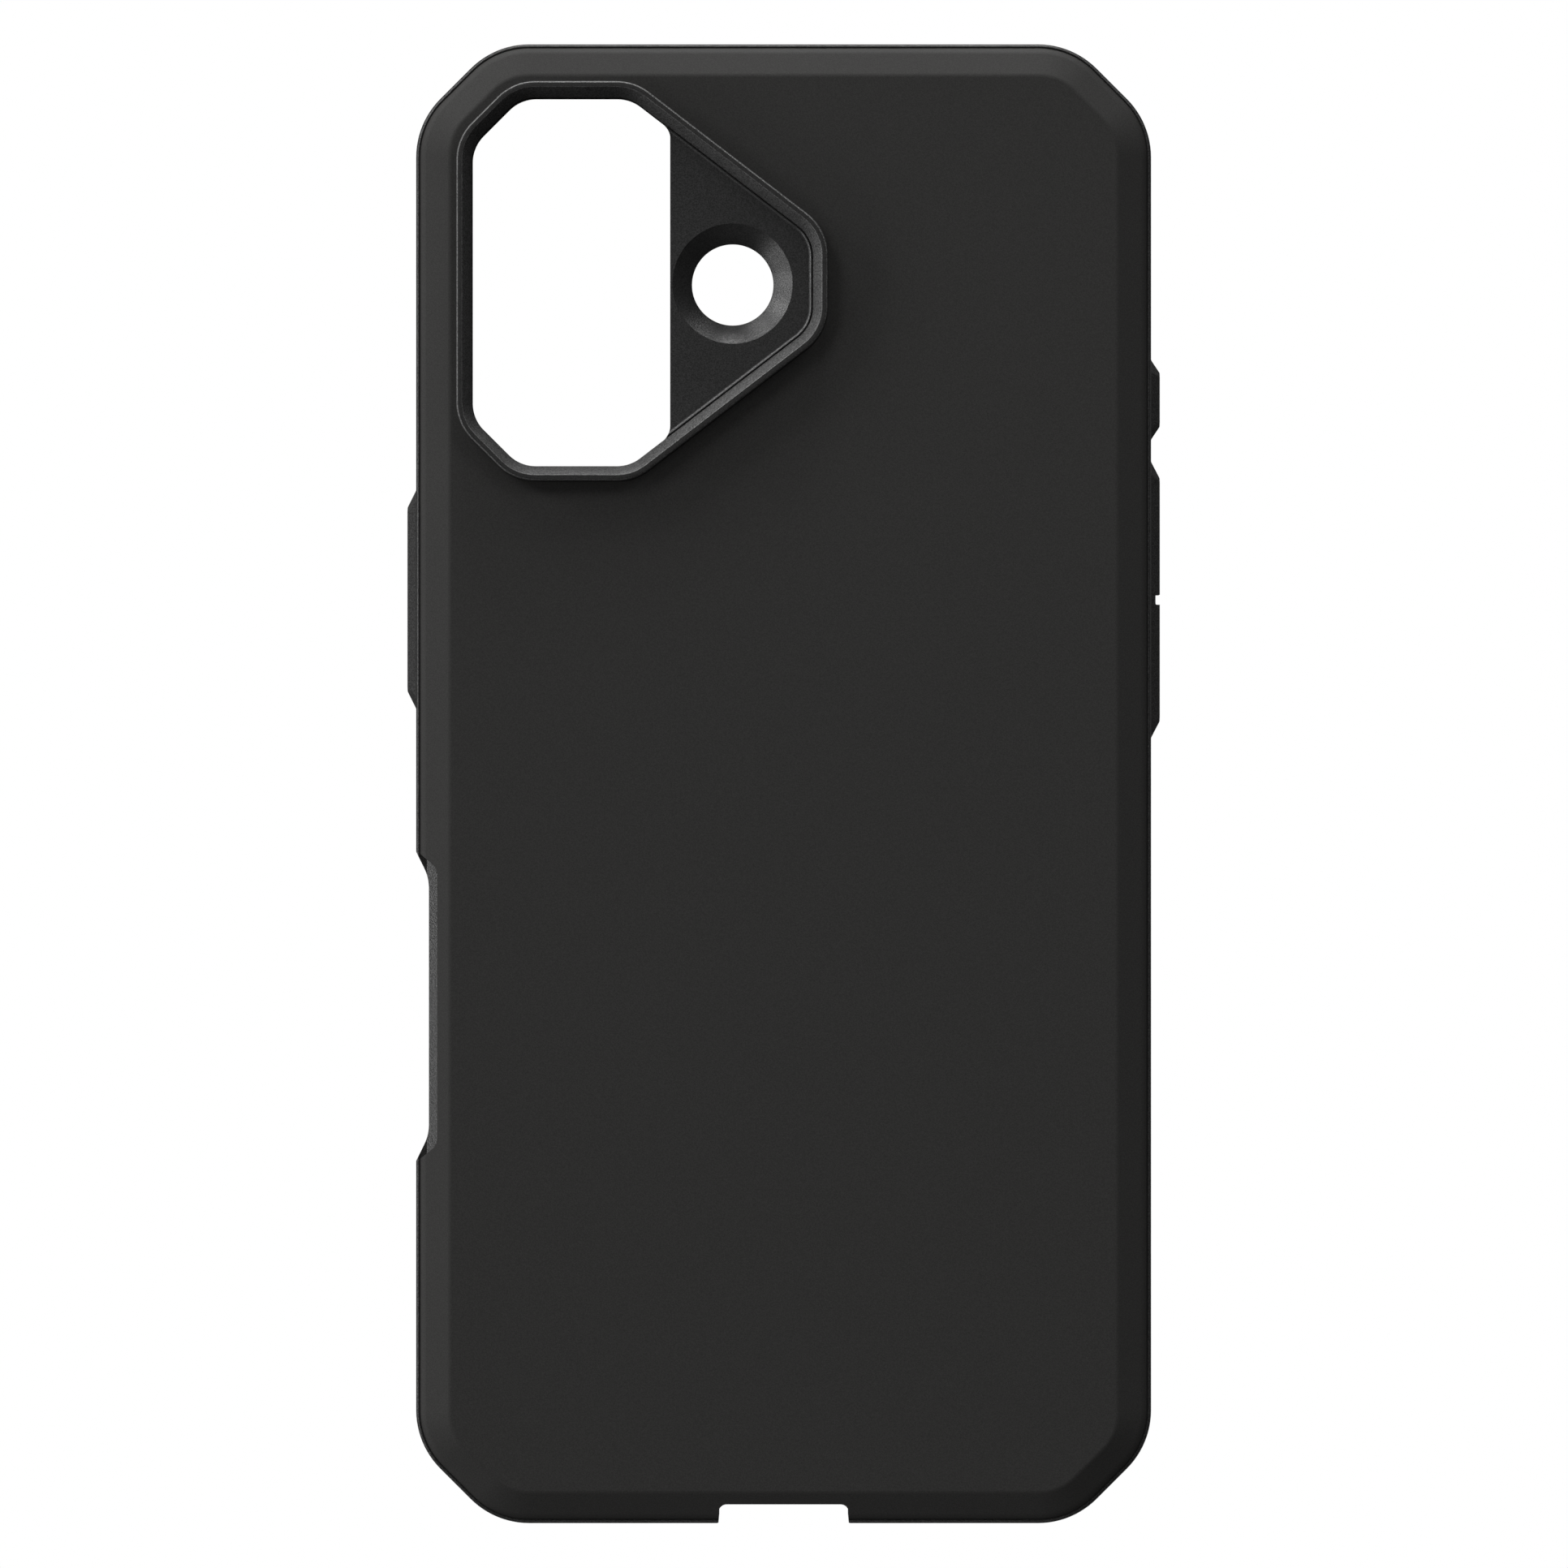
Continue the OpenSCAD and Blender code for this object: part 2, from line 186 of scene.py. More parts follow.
# The scoop, the port notch and the sound slots
SCOOP_Y = -22.73
SCOOP_L = 31.66
SCOOP_D = 1.33
SCOOP_SLOPE = math.tan(math.radians(26.0))
SCOOP_R = 4.7
COLLAR_IN = 2.21
COLLAR_HALF = 14.1
COLLAR_FLARE = 0.83
COLLAR_R = 1.5
COLLAR_UNDER = 0.2
COLLAR_EDGE = 0.05
WINDOW_L = 26.0
WINDOW_H = 6.6
WINDOW_R = 1.2
PORT_W = 13.28
PORT_D = 2.04
PORT_R = 0.85
PORT_MOUTH_R = 0.2
SLOT_X = 17.0
SLOT_L = 15.0
SLOT_H = 2.2
SLOT_MOUTH_R = 0.25

# Steps of a rounded corner
ARC_STEPS = 12
SMALL_STEPS = 6
NOTCH_STEPS = 4
SLOT_STEPS = 10
MOUTH_STEPS = 4

# How far a cutter reaches: beyond the case, beyond the part that it cuts, and beyond a wall's inside
PAST = 3.0
CLEAR = 1.0
SLIGHT = 0.05

# What a round outline's radius gives up, so that the points of its four corners stay apart
APART = 0.001


# ---------------------------------------------------------------- outlines
def corner_arc(before, corner, after, radius, inset, steps):
    """The arc that rounds one corner of an outline, shifted inwards."""
    a, p, b = Vector(before[:2]), Vector(corner[:2]), Vector(after[:2])
    u, v = (a - p).normalized(), (b - p).normalized()
    half = math.acos(max(-1.0, min(1.0, u.dot(v)))) / 2
    centre = p + (u + v).normalized() * radius / math.sin(half)
    spoke = p + u * radius / math.tan(half) - centre
    start = math.atan2(spoke.y, spoke.x)
    turn = math.pi - 2 * half
    if u.cross(v) > 0:
        turn = -turn
        shifted = radius + inset
    else:
        shifted = radius - inset
    angles = [start + turn * i / steps for i in range(steps + 1)]
    return [(centre.x + shifted * math.cos(t), centre.y + shifted * math.sin(t)) for t in angles]


def outline(corners, inset=0.0, steps=ARC_STEPS):
    """A closed outline, counter-clockwise, from corners (x, y, radius)."""
    points = []
    for i, corner in enumerate(corners):
        if corner[2] == 0:
            points.append(corner[:2])
            continue
        before, after = corners[i - 1], corners[(i + 1) % len(corners)]
        points += corner_arc(before, corner, after, corner[2], inset, steps)
    return points


def octagon(inset, side_inset=None):
    """The case's outline with its corners cut off. The long sides may have an inset of their own."""
    side_x = HALF_W - (inset if side_inset is None else side_inset)
    end_y = HALF_L - inset
    cut = HALF_W + HALF_L - CORNER_LEG - inset * math.sqrt(2)
    quarter = [(side_x, cut - side_x), (cut - end_y, end_y)]
    half = quarter + [(-x, y) for x, y in reversed(quarter)]
    return [(x, y, CORNER_R - inset) for x, y in half + [(-x, -y) for x, y in half]]


def rounded_box(half_x, half_y, radius, centre=(0.0, 0.0)):
    x, y = centre
    spots = [(half_x, -half_y), (half_x, half_y), (-half_x, half_y), (-half_x, -half_y)]
    return [(x + dx, y + dy, radius) for dx, dy in spots]


def about_guard(upper):
    """A closed outline that is alike above and below the guard's middle, from its upper half."""
    lower = [(x, -y, radius) for x, y, radius in reversed(upper)]
    spots = [lower[-1], *upper, *lower[:-1]]
    return [(x, GUARD_Y + y, radius) for x, y, radius in spots]


def guard_outline():
    """The guard's outer edge: cut corners on the left, and sides that lean in on the right."""
    upper = [
        (GUARD_RIGHT, GUARD_NOSE),
        (GUARD_TURN_X, GUARD_HALF),
        (GUARD_LEFT + GUARD_LEG, GUARD_HALF),
        (GUARD_LEFT, GUARD_HALF - GUARD_LEG),
    ]
    return about_guard([(x, y, GUARD_R) for x, y in upper])


def lens_window():
    """The window follows the guard's foot, up to the flash plate's straight edge."""
    rise = (GUARD_HALF - GUARD_NOSE) / (GUARD_RIGHT - GUARD_TURN_X)
    leg = GUARD_LEG - GUARD_WALL * (2 - math.sqrt(2))
    left = GUARD_LEFT + GUARD_WALL
    half = GUARD_HALF - GUARD_WALL
    turn_x = GUARD_TURN_X - GUARD_WALL * math.tan(math.atan(rise) / 2)
    right_half = half - (LENS_RIGHT - turn_x) * rise
    radius = GUARD_R - GUARD_WALL
    upper = [
        (LENS_RIGHT, right_half, LENS_CORNER_R),
        (turn_x, half, radius),
        (left + leg, half, radius),
        (left, half - leg, radius),
    ]
    return about_guard(upper)


def scoop(depth, half_there, flare, radius, reach):
    """A trapezoid on the left wall. At full depth it is half_there on each side, and it widens by flare."""
    inner_x, outer_x = depth - HALF_W, -reach - HALF_W
    mouth = half_there + (depth + reach) * flare
    return [
        (inner_x, SCOOP_Y - half_there, radius),
        (inner_x, SCOOP_Y + half_there, radius),
        (outer_x, SCOOP_Y + mouth, 0),
        (outer_x, SCOOP_Y - mouth, 0),
    ]


def port_notch():
    """The charging notch, with rounded inner corners and a rounded mouth."""
    half, edge, round_r = PORT_W / 2, -HALF_L, PORT_MOUTH_R
    right = [(half + round_r, edge - PAST, 0), (half + round_r, edge, 0)]
    for turn in (0.4, 0.8, 1.2):
        spot_x = half + round_r * (1 - math.cos(turn))
        right.append((spot_x, edge + round_r * math.sin(turn), 0))
    right += [(half, edge + round_r, 0), (half, edge + PORT_D, PORT_R)]
    return right + [(-x, y, radius) for x, y, radius in reversed(right)]


CASE = octagon(0.0)
BAY = rounded_box(HALF_W - WALL, HALF_L - WALL, BAY_R)
GUARD = guard_outline()
LENS = lens_window()
SCOOP = scoop(SCOOP_D, SCOOP_L / 2 - SCOOP_D / SCOOP_SLOPE, 1 / SCOOP_SLOPE, SCOOP_R, PAST)
COLLAR = scoop(COLLAR_IN, COLLAR_HALF, COLLAR_FLARE, COLLAR_R, PAST)
PORT = port_notch()


# ---------------------------------------------------------------- meshes
# Points closer than this become one, in metres
JOIN_DISTANCE = 1e-8
# Faces that turn by more than this meet in a sharp edge
SHARP_DEG = 28.0


def piece(name, points, faces):
    """A mesh object from points in millimetres."""
    mesh = bpy.data.meshes.new(name)
    mesh.from_pydata([[c * MM for c in p] for p in points], [], faces)
    mesh.validate()
    obj = bpy.data.objects.new(name, mesh)
    bpy.context.scene.collection.objects.link(obj)
    joined = bmesh.new()
    joined.from_mesh(mesh)
    bmesh.ops.remove_doubles(joined, verts=joined.verts, dist=JOIN_DISTANCE)
    bmesh.ops.recalc_face_normals(joined, faces=joined.faces)
    joined.to_mesh(mesh)
    joined.free()
    return obj


def bands(sections, ring=False):
    """The faces between sections of equal counts. A ring's last section meets its first."""
    count = len(sections[0])
    pairs = list(zip(range(len(sections)), range(1, len(sections))))
    if ring:
        pairs.append((len(sections) - 1, 0))
    faces = []
    for low, high in pairs:
        for i in range(count):
            j = (i + 1) % count
            faces.append((low * count + i, low * count + j, high * count + j, high * count + i))
    return faces


def loft(name, sections, ring=False):
    """A solid through sections, each a list of points."""
    count = len(sections[0])
    points = [p for section in sections for p in section]
    faces = bands(sections, ring)
    if not ring:
        last = (len(sections) - 1) * count
        faces.append(tuple(reversed(range(count))))
        faces.append(tuple(range(last, last + count)))
    return piece(name, points, faces)


def level(corners, z, inset=0.0, steps=ARC_STEPS):
    """A section at one height."""
    return [(x, y, z) for x, y in outline(corners, inset, steps)]


def upright(corners, x):
    """A section in Y and Z, at one x."""
    return [(x, y, z) for y, z in outline(corners, 0.0, SMALL_STEPS)]


def raised(corners, profile):
    """Sections of an outline, one for each (inset, z) of a profile."""
    return [level(corners, z, inset) for inset, z in profile]


def prism(name, corners, low, high, inset=0.0):
    return loft(name, raised(corners, [(inset, low), (inset, high)]))


def circle(radius, z, steps, centre=(0.0, 0.0)):
    spokes = [2 * math.pi * i / steps for i in range(steps)]
    return [(centre[0] + radius * math.cos(t), centre[1] + radius * math.sin(t), z) for t in spokes]


def turned(name, centre, profile, steps):
    """A solid of revolution round a vertical line, from (radius, z) points."""
    return loft(name, [circle(radius, z, steps, centre) for radius, z in profile])


def bow(centre, radius, start, end, steps, tall=1.0):
    """An arc in a profile, with angles in degrees from +inset towards +z. tall stretches it along z."""
    angles = [math.radians(start + (end - start) * i / steps) for i in range(steps + 1)]
    return [(centre[0] + radius * math.cos(t), centre[1] + radius * tall * math.sin(t)) for t in angles]


def bend(before, corner, after, reach, steps=4):
    """A rounded turn at one corner of a path, from reach before it to reach after it."""
    a, p, b = Vector(before), Vector(corner), Vector(after)
    start = p + (a - p).normalized() * reach
    end = p + (b - p).normalized() * reach
    parts = [i / steps for i in range(steps + 1)]
    return [tuple(start.lerp(p, t).lerp(p.lerp(end, t), t)) for t in parts]


def combine(obj, others, operation):
    for other in others:
        step = obj.modifiers.new("boolean", "BOOLEAN")
        step.operation = operation
        step.solver = "EXACT"
        step.object = other
    bake(obj)
    for other in others:
        bpy.data.objects.remove(other)


def bake(obj):
    """Turns a piece's modifiers into its mesh."""
    seen = obj.evaluated_get(bpy.context.evaluated_depsgraph_get())
    mesh = bpy.data.meshes.new_from_object(seen)
    old = obj.data
    obj.modifiers.clear()
    obj.data = mesh
    bpy.data.meshes.remove(old)


def round_edges(obj, width, segments, angle):
    step = obj.modifiers.new("bevel", "BEVEL")
    step.width = width * MM
    step.segments = segments
    step.limit_method = "ANGLE"
    step.angle_limit = math.radians(angle)
    step.use_clamp_overlap = True
    bake(obj)


def shade(obj):
    obj.data.shade_smooth()
    obj.data.set_sharp_from_angle(angle=math.radians(SHARP_DEG))
    step = obj.modifiers.new("normals", "WEIGHTED_NORMAL")
    step.keep_sharp = True


# ---------------------------------------------------------------- materials
# A noise value's usual span, over which a grain goes from its low to its high tone
GRAIN_LOW = 0.3
GRAIN_HIGH = 0.7

# Every moulded surface also has slow changes of roughness, and a coarser grain under its fine one
CLOUD_MM = 14.0
CLOUD_ROUGH = 0.03
COARSE_SIZE = 2.4
COARSE_DEPTH = 0.8


def graph(name):
    material = bpy.data.materials.new(name)
    material.use_nodes = True
    tree = material.node_tree
    shader = tree.nodes["Principled BSDF"]
    place = tree.nodes.new("ShaderNodeTexCoord").outputs["Object"]
    return material, tree, shader, place


def noise(tree, place, size_mm, detail=2.0, rough=0.5):
    node = tree.nodes.new("ShaderNodeTexNoise")
    node.inputs["Scale"].default_value = 1 / (size_mm * MM)
    node.inputs["Detail"].default_value = detail
    node.inputs["Roughness"].default_value = rough
    tree.links.new(place, node.inputs["Vector"])
    return node.outputs["Fac"]


def tinted(tree, value, tone, darkest, lightest):
    """A colour that follows a noise value, between two multiples of a tone."""
    node = tree.nodes.new("ShaderNodeValToRGB")
    ends = node.color_ramp.elements
    ends[0].position = GRAIN_LOW
    ends[1].position = GRAIN_HIGH
    for end, share in zip(ends, (darkest, lightest)):
        end.color = (*[c * share for c in tone], 1.0)
    tree.links.new(value, node.inputs["Fac"])
    return node.outputs["Color"]


def span(tree, value, low, high, start=0.0, end=1.0):
    node = tree.nodes.new("ShaderNodeMapRange")
    node.inputs["From Min"].default_value = start
    node.inputs["From Max"].default_value = end
    node.inputs["To Min"].default_value = low
    node.inputs["To Max"].default_value = high
    tree.links.new(value, node.inputs["Value"])
    return node.outputs["Result"]


def bump(tree, height, depth_mm, under=None):
    node = tree.nodes.new("ShaderNodeBump")
    node.inputs["Distance"].default_value = depth_mm * MM
    node.inputs["Strength"].default_value = 1.0
    tree.links.new(height, node.inputs["Height"])
    if under is not None:
        tree.links.new(under, node.inputs["Normal"])
    return node.outputs["Normal"]


def moulded(name, tone, contrast, rough, grain_mm, depth_mm, specular, ior=1.5):
    """Moulded plastic or rubber: a spark-eroded grain, with small changes of tone and gloss."""
    material, tree, shader, place = graph(name)
    low, high = 1 - contrast, 1 + contrast
    grain = noise(tree, place, grain_mm, detail=1.0)
    clouds = noise(tree, place, CLOUD_MM)
    tree.links.new(tinted(tree, grain, tone, low, high), shader.inputs["Base Color"])
    cloudy = span(tree, clouds, rough - CLOUD_ROUGH, rough + CLOUD_ROUGH)
    tree.links.new(cloudy, shader.inputs["Roughness"])
    coarse = noise(tree, place, grain_mm * COARSE_SIZE, detail=1.0)
    under = bump(tree, coarse, depth_mm * COARSE_DEPTH)
    tree.links.new(bump(tree, grain, depth_mm, under), shader.inputs["Normal"])
    gloss = span(tree, grain, specular * low, specular * high, GRAIN_LOW, GRAIN_HIGH)
    tree.links.new(gloss, shader.inputs["Specular IOR Level"])
    shader.inputs["IOR"].default_value = ior
    return material


def microfibre(name, tone):
    """Short-pile fabric: fine fibres, and slow changes where the pile leans."""
    material, tree, shader, place = graph(name)
    fibre = noise(tree, place, size_mm=0.12, detail=4.0, rough=0.7)
    nap = noise(tree, place, size_mm=6.0)
    colour = tinted(tree, fibre, tone, darkest=0.6, lightest=1.5)
    tree.links.new(colour, shader.inputs["Base Color"])
    tree.links.new(span(tree, nap, low=0.88, high=1.0), shader.inputs["Roughness"])
    tree.links.new(bump(tree, fibre, depth_mm=0.03), shader.inputs["Normal"])
    shader.inputs["Sheen Weight"].default_value = 0.4
    shader.inputs["Specular IOR Level"].default_value = 0.2
    return material


# The tones and speculars, but for the lining's, began as rounded results of the same fit as the lamps.
# Those of the frame and the slanted wall, and the plate's tone, were then changed.
shell_look = moulded(
    "shell_soft_touch",
    tone=(0.0264, 0.0257, 0.0246),
    contrast=0.12,
    rough=0.65,
    grain_mm=0.12,
    depth_mm=0.005,
    specular=0.41,
)
frame_look = moulded(
    "frame_soft_grain",
    tone=(0.0115, 0.0113, 0.0110),
    contrast=0.28,
    rough=0.40,
    grain_mm=0.15,
    depth_mm=0.030,
    specular=0.80,
)
land_look = moulded(
    "guard_smooth_land",
    tone=(0.0215, 0.0212, 0.0208),
    contrast=0.20,
    rough=0.68,
    grain_mm=0.14,
    depth_mm=0.008,
    specular=0.33,
)
slant_look = moulded(
    "guard_spark_grain",
    tone=(0.0170, 0.0168, 0.0164),
    contrast=0.48,
    rough=0.60,
    grain_mm=0.15,
    depth_mm=0.040,
    specular=0.95,
    ior=1.8,
)
plate_look = moulded(
    "plate_fine_grain",
    tone=(0.0160, 0.0159, 0.0159),
    contrast=0.30,
    rough=0.42,
    grain_mm=0.14,
    depth_mm=0.015,
    specular=0.97,
)
key_look = moulded(
    "key_fine_grain",
    tone=(0.0262, 0.0259, 0.0254),
    contrast=0.35,
    rough=0.70,
    grain_mm=0.15,
    depth_mm=0.060,
    specular=0.41,
)
lining_look = microfibre("lining_microfibre", (0.030, 0.030, 0.032))


def dress(obj, node, body, look):
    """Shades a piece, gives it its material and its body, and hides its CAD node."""
    shade(obj)
    obj.data.materials.clear()
    obj.data.materials.append(look)
    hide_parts(node)
    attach(obj, body)


# ---------------------------------------------------------------- the back shell
def shell_sections():
    """From the shell's lower edge, round its outer edge and up the bevel to the flat."""
    centre = (SHELL_IN + EDGE_R, BACK_Z - BEVEL_RISE - EDGE_R * math.cos(BEVEL))
    start = math.degrees(math.asin((WEB_Z - centre[1]) / EDGE_R))
    edge = bow(centre, EDGE_R, 180 - start, 90 + BEVEL_DEG, steps=10)
    edge[0] = (max(edge[0][0], RIM_W + RIM_GAP), WEB_Z)
    tangent = BLEND_R * math.tan(BEVEL / 2)
    blend = bow((BEVEL_IN + tangent, BACK_Z - BLEND_R), BLEND_R, 90 + BEVEL_DEG, 90, steps=6)
    sections = [level(octagon(inset), z) for inset, z in edge]
    extra = (BEVEL_SIDE_IN - BEVEL_IN) / (BEVEL_IN - EDGE_END_IN)
    for inset, z in blend:
        side_inset = inset + extra * (inset - EDGE_END_IN)
        sections.append(level(octagon(inset, side_inset), z))
    return sections


def make_shell():
    shell = loft("back_shell_moulded", shell_sections())
    low, high = WEB_Z - CLEAR, BACK_Z + CLEAR
    foot_high = WEB_Z + FOOT_H + GUARD_GAP
    cutters = [
        prism("cut_guard", GUARD, low, high, -GUARD_GAP),
        prism("cut_foot", GUARD, low, foot_high, -FOOT_W - GUARD_GAP),
        prism("cut_collar", COLLAR, low, high),
        prism("cut_port", PORT, low, high),
    ]
    combine(shell, cutters, "DIFFERENCE")
    dress(shell, "back_shell", "case", shell_look)


# ---------------------------------------------------------------- the bumper frame
def frame_profile():
    """(inset, z) from the front lip, up the wall, over the half-round rim and down to the web."""
    lip = bow((LIP_EDGE_R, LIP_EDGE_R), LIP_EDGE_R, 270, 180, steps=8)
    outer_centre = (RIM_OUTER_R, RIM_Z - RIM_OUTER_R * RIM_TALL)
    outer = bow(outer_centre, RIM_OUTER_R, 180, 90, steps=8, tall=RIM_TALL)
    inner = bow((RIM_W - RIM_INNER_R, RIM_Z - RIM_INNER_R), RIM_INNER_R, 90, 0, steps=3)
    return lip + outer + inner + [(RIM_W, WEB_Z)]


def bay_profile():
    """(inset, z) of the space inside the frame, from under the lip to the ceiling."""
    lip = bow((LIP_REACH - LIP_INNER_R, LIP_INNER_R), LIP_INNER_R, -90, 0, steps=6)
    ceiling = bow((BAY_EDGE_R, CEILING_Z - BAY_EDGE_R), BAY_EDGE_R, 180, 90, steps=5)
    return [(lip[0][0], -PAST), *lip, (LIP_REACH, LIP_H), (0.0, LIP_H), *ceiling]


def collar_block():
    """What the frame adds beside the scoop: a strip that slopes down from the shell's bevel."""
    drop = (BEVEL_SIDE_IN - COLLAR_IN) * BEVEL_RISE / (BEVEL_SIDE_IN - EDGE_END_IN)
    top = BACK_Z - drop
    low = WEB_Z - COLLAR_UNDER
    reach = top - low - COLLAR_IN - COLLAR_EDGE
    edge = outline(scoop(COLLAR_IN, COLLAR_HALF, COLLAR_FLARE, COLLAR_R, reach))
    foot = [(x, y, low) for x, y in edge]
    slope = [(x, y, top - (COLLAR_IN - HALF_W - x)) for x, y in edge]
    return loft("add_collar", [foot, slope])


def mouth_path(radius):
    """(depth under a wall's outside, how much wider) of an opening with a rounded mouth."""
    turns = [math.radians(90 * i / MOUTH_STEPS) for i in range(MOUTH_STEPS + 1)]
    mouth = [(radius * (1 - math.sin(t)), radius * (1 - math.cos(t))) for t in turns]
    return [(WALL + SLIGHT, 0.0), *mouth, (-CLEAR, radius)]


def window_cut():
    """The camera control's window, through what the scoop leaves of the wall."""
    corners = rounded_box(WINDOW_L / 2, WINDOW_H / 2, WINDOW_R, (SCOOP_Y, KEY_Z))
    depths = (WALL + SLIGHT, 0.0)
    return loft("cut_window", [upright(corners, depth - HALF_W) for depth in depths])


def slot_cut(name, x):
    """A sound slot with round ends and a rounded mouth, through the wall beside the port."""
    sections = []
    for depth, wider in mouth_path(SLOT_MOUTH_R):
        half_l, half_h = SLOT_L / 2 + wider, SLOT_H / 2 + wider
        corners = rounded_box(half_l, half_h, half_h - APART, (x, KEY_Z))
        spots = outline(corners, 0.0, SLOT_STEPS)
        sections.append([(spot_x, depth - HALF_L, z) for spot_x, z in spots])
    return loft(name, sections)


def key_outline(length, height, centre_y, cut=KEY_CORNER):
    """A key's outline in Y and Z: a rectangle with its corners cut off and rounded ridges."""
    half_y, half_z = length / 2, height / 2
    quarter = [(half_y, half_z - cut), (half_y - cut, half_z)]
    half = quarter + [(-y, z) for y, z in reversed(quarter)]
    spots = half + [(-y, -z) for y, z in half]
    return [(centre_y + y, KEY_Z + z, KEY_RIDGE_R) for y, z in spots]


def key_place(low, high, sliding):
    """The Y of a key's centre, and the key's length without its flange."""
    return (low.y + high.y) / 2, high.y - low.y - (2 * FLANGE_W if sliding else 0)


def key_cut(name, side, place, gap, path):
    """A cutter that leaves a gap round a key, from (depth under the wall's outside, how much wider)."""
    centre_y, length = place
    sections = []
    for depth, wider in path:
        spread = 2 * (gap + wider)
        corners = key_outline(length + spread, KEY_BASE_H + spread, centre_y)
        sections.append(upright(corners, side * (HALF_W - depth)))
    return loft(name, sections)


def key_window(name, side, low, high, sliding):
    """The opening in the wall for one key, and the recess for its flange."""
    place = key_place(low, high, sliding)
    gap = KEY_GAP if sliding else ROCKER_GAP
    cuts = [key_cut(name, side, place, gap, mouth_path(KEY_MOUTH_R))]
    if sliding:
        recess = [(WALL + SLIGHT, 0.0), (SKIN, 0.0)]
        cuts.append(key_cut(name, side, place, gap + FLANGE_W, recess))
    return cuts


def make_frame():
    body = loft("bumper_frame_moulded", raised(CASE, frame_profile()))
    combine(body, [collar_block()], "UNION")
    low, high = CEILING_Z - CLEAR, WEB_Z + CLEAR
    hole = rounded_box(FLASH_R, FLASH_R, FLASH_R, (FLASH_X, FLASH_Y))
    cutters = [
        loft("cut_bay", raised(BAY, bay_profile())),
        prism("cut_lens", LENS, low, high),
        loft("cut_flash", [level(hole, z, APART, FLASH_STEPS) for z in (low, high)]),
        prism("cut_scoop", SCOOP, -PAST, GUARD_Z),
        prism("cut_port", PORT, -PAST, GUARD_Z),
        window_cut(),
        slot_cut("cut_slot_left", -SLOT_X),
        slot_cut("cut_slot_right", SLOT_X),
        *key_window("cut_action", 1, action_low, action_high, True),
        *key_window("cut_volume", 1, volume_low, volume_high, False),
        *key_window("cut_power", -1, power_low, power_high, True),
    ]
    combine(body, cutters, "DIFFERENCE")
    dress(body, "bumper_frame", "case", frame_look)


# ---------------------------------------------------------------- the camera guard
def guard_profile():
    """(inset, z) round the guard's section: foot, outer wall, rounded land, slanted wall, inner foot."""
    slope = math.atan2(GUARD_Z - SLANT_Z, GUARD_WALL - LAND_W)
    outer_centre = (LAND_OUTER_R, GUARD_Z - LAND_OUTER_R * LAND_OUTER_TALL)
    outer = bow(outer_centre, LAND_OUTER_R, 180, 90, steps=6, tall=LAND_OUTER_TALL)
    inner_centre = (LAND_W - LAND_INNER_R * math.tan(slope / 2), GUARD_Z - LAND_INNER_R)
    inner = bow(inner_centre, LAND_INNER_R, 90, 90 - math.degrees(slope), steps=4)
    return [
        (-FOOT_W, WEB_Z),
        (-FOOT_W, WEB_Z + FOOT_H),
        (0.0, WEB_Z + FOOT_H),
        *outer,
        *inner,
        (GUARD_WALL, SLANT_Z),
        (GUARD_WALL, WEB_Z),
    ]


def make_guard():
    guard = loft("camera_guard_moulded", raised(GUARD, guard_profile()), ring=True)
    dress(guard, "camera_guard", "case", land_look)
    guard.data.materials.append(slant_look)
    for face in guard.data.polygons:
        if face.center.z / MM > SLANT_Z and SLANT_RISE < face.normal.z < LAND_RISE:
            face.material_index = 1


# ---------------------------------------------------------------- the flash plate
def plate_profile():
    """(inset, z) up the plate's side, across the groove, over the raised edge and down its cove."""
    side = GUARD_WALL + PLATE_GAP
    bead_in = side + GROOVE_W
    top = PLATE_Z + BEAD_H
    edge = bow((bead_in + BEAD_EDGE_R, top - BEAD_EDGE_R), BEAD_EDGE_R, 180, 90, steps=3)
    turn = 2 * math.atan(BEAD_H / (BEAD_W - 1.5 * BEAD_EDGE_R))
    cove_r = BEAD_H / (1 - math.cos(turn))
    cove_centre = (bead_in + BEAD_W, PLATE_Z + cove_r)
    cove = bow(cove_centre, cove_r, 270 - math.degrees(turn), 270, steps=8)
    groove_z = PLATE_Z - GROOVE_D
    return [(side, WEB_Z), (side, groove_z), (bead_in, groove_z), *edge, *cove]


def sink_profile():
    """(radius, z) up the funnel round the flash, with a small round at its top edge."""
    top_r = SINK_R + SINK_EDGE / 4
    return [
        (FLASH_R, WEB_Z - CLEAR),
        (FLASH_R, WEB_Z + SINK_EDGE),
        (FLASH_R + SINK_EDGE, WEB_Z + 2 * SINK_EDGE),
        (SINK_R - SINK_EDGE, PLATE_Z - SINK_EDGE),
        (SINK_R, PLATE_Z - SINK_EDGE / 4),
        (top_r, PLATE_Z + SINK_ABOVE),
        (top_r, PLATE_Z + CLEAR),
    ]


def left_of_plate():
    """What lies left of the lens window's right corners, as a plain rectangle."""
    right = LENS_RIGHT - LENS_CORNER_R
    low, high = GUARD_Y - GUARD_HALF, GUARD_Y + GUARD_HALF
    return [(right, low, 0), (right, high, 0), (GUARD_LEFT, high, 0), (GUARD_LEFT, low, 0)]


def make_plate():
    plate = loft("flash_plate_moulded", raised(GUARD, plate_profile()))
    cutters = [
        turned("cut_sink", (FLASH_X, FLASH_Y), sink_profile(), SINK_STEPS),
        prism("cut_lens", LENS, WEB_Z - CLEAR, GUARD_Z),
        prism("cut_rest", left_of_plate(), WEB_Z - CLEAR, GUARD_Z),
    ]
    combine(plate, cutters, "DIFFERENCE")
    dress(plate, "flash_plate", "case", plate_look)


